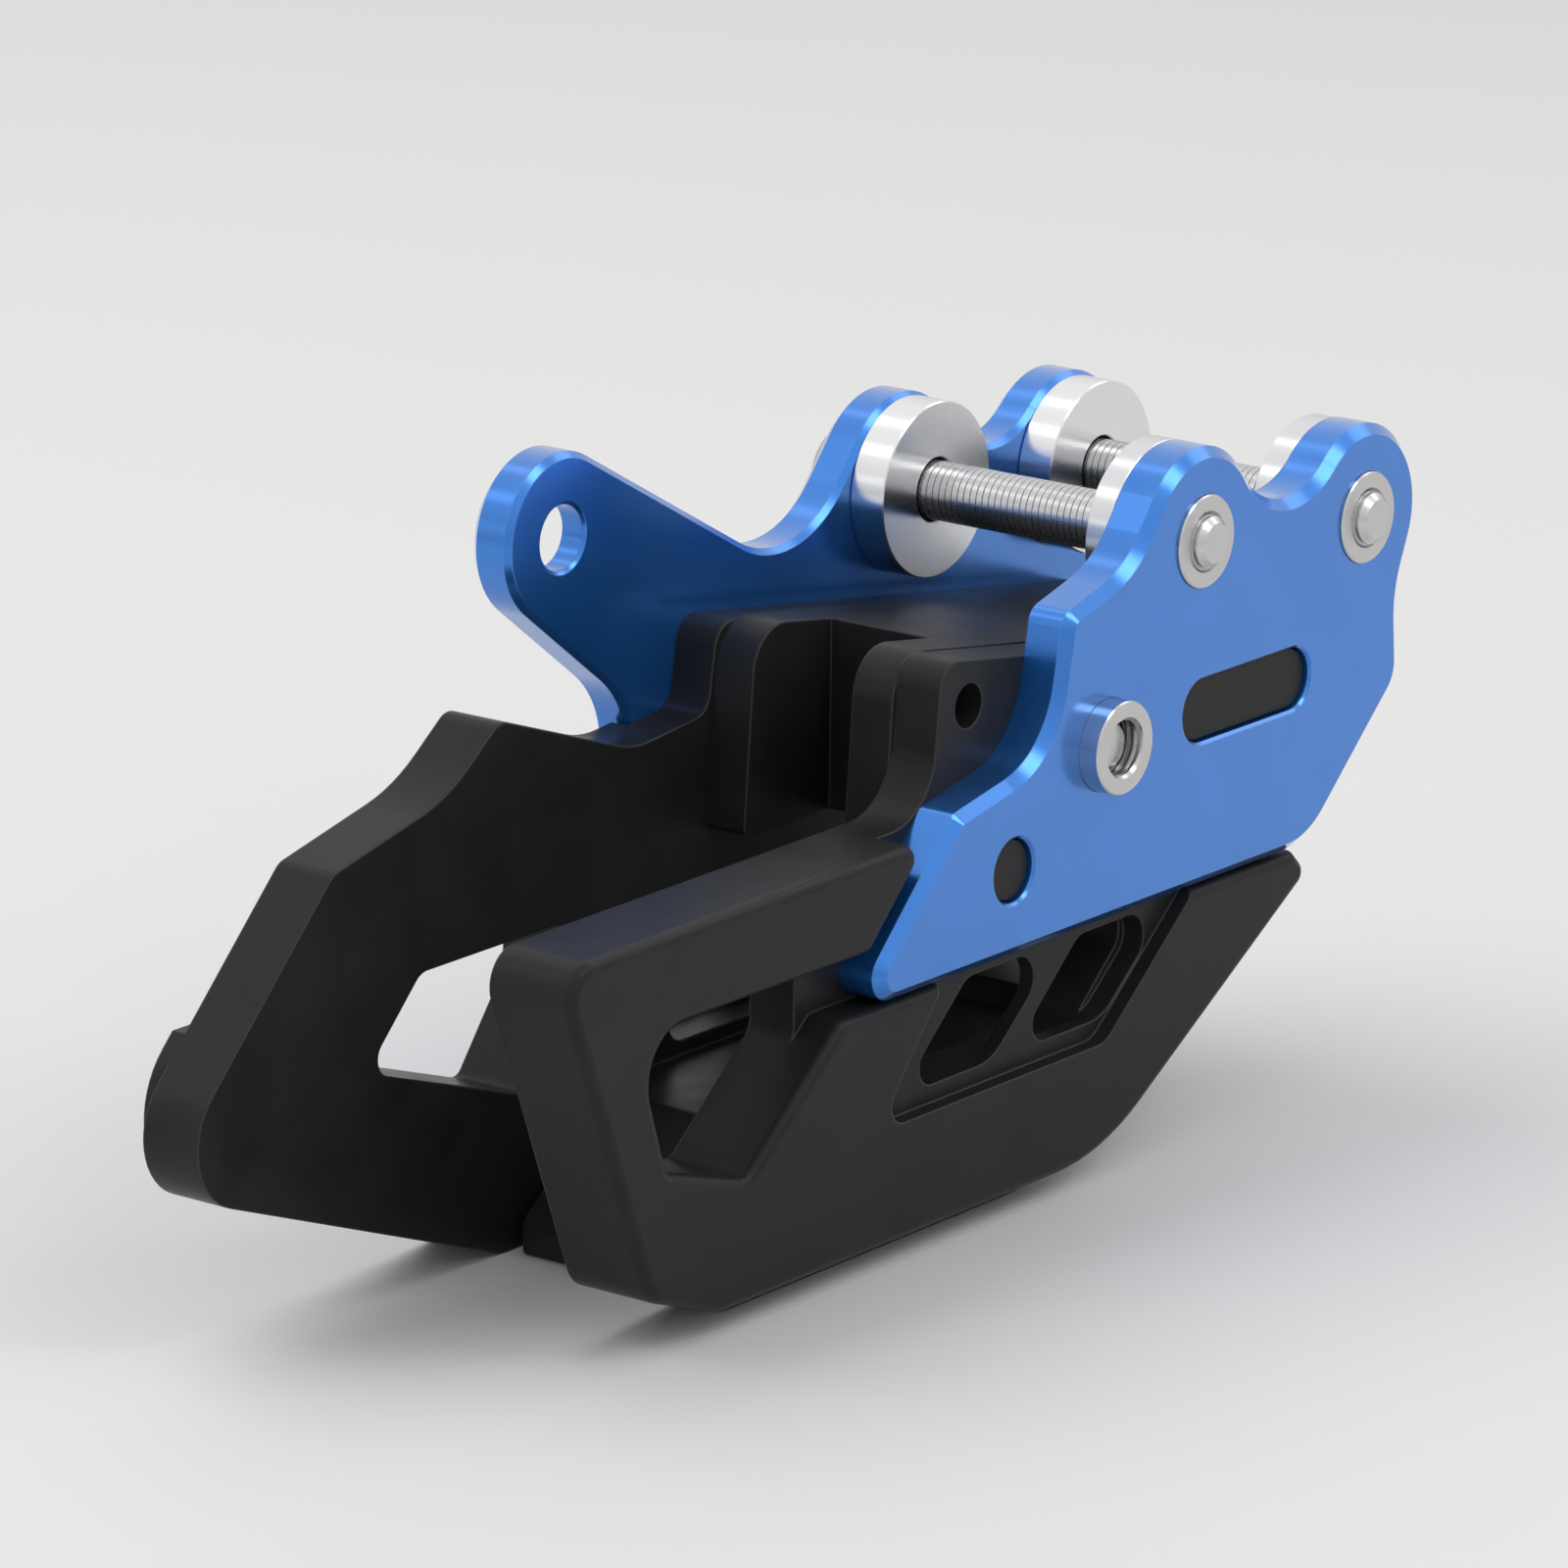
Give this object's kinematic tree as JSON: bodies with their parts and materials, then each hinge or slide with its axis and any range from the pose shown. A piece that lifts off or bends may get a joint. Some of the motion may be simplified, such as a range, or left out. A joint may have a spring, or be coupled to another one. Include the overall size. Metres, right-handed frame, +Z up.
{
  "type": "motorcycle chain guide",
  "caption": "Rear chain guide of an off-road motorcycle: blue machined side plates clamp a black moulded channel, with bolts and round spacers for the swingarm bracket.",
  "frame": {"origin": "middle of the bounding box, on the ground that the flat bottom of the housing stands on", "axes": "+X along the chain towards the end with the upper bolts, +Y across the chain from the outer side plate to the inner one, +Z up"},
  "size_m": [0.1988, 0.0634, 0.0989],
  "materials": {
    "black_plastic": "moulded, satin",
    "blue_anodised": "blue anodised, machined edges",
    "bright_aluminium": "turned, bright",
    "steel": "plain, machined"
  },
  "bodies": {
    "root": {"housing": "black_plastic", "upper_block": "black_plastic", "outer_side_plate": "blue_anodised", "inner_side_plate": "blue_anodised", "outer_spacer_front": "bright_aluminium", "inner_spacer_front": "bright_aluminium", "insert_front": "steel", "bolt_front": "steel", "washer_front": "steel", "outer_spacer_rear": "bright_aluminium", "inner_spacer_rear": "bright_aluminium", "insert_rear": "steel", "bolt_rear": "steel", "washer_rear": "steel", "insert_lower": "steel", "bolt_lower": "steel", "washer_lower": "steel"}
  },
  "joints": []
}
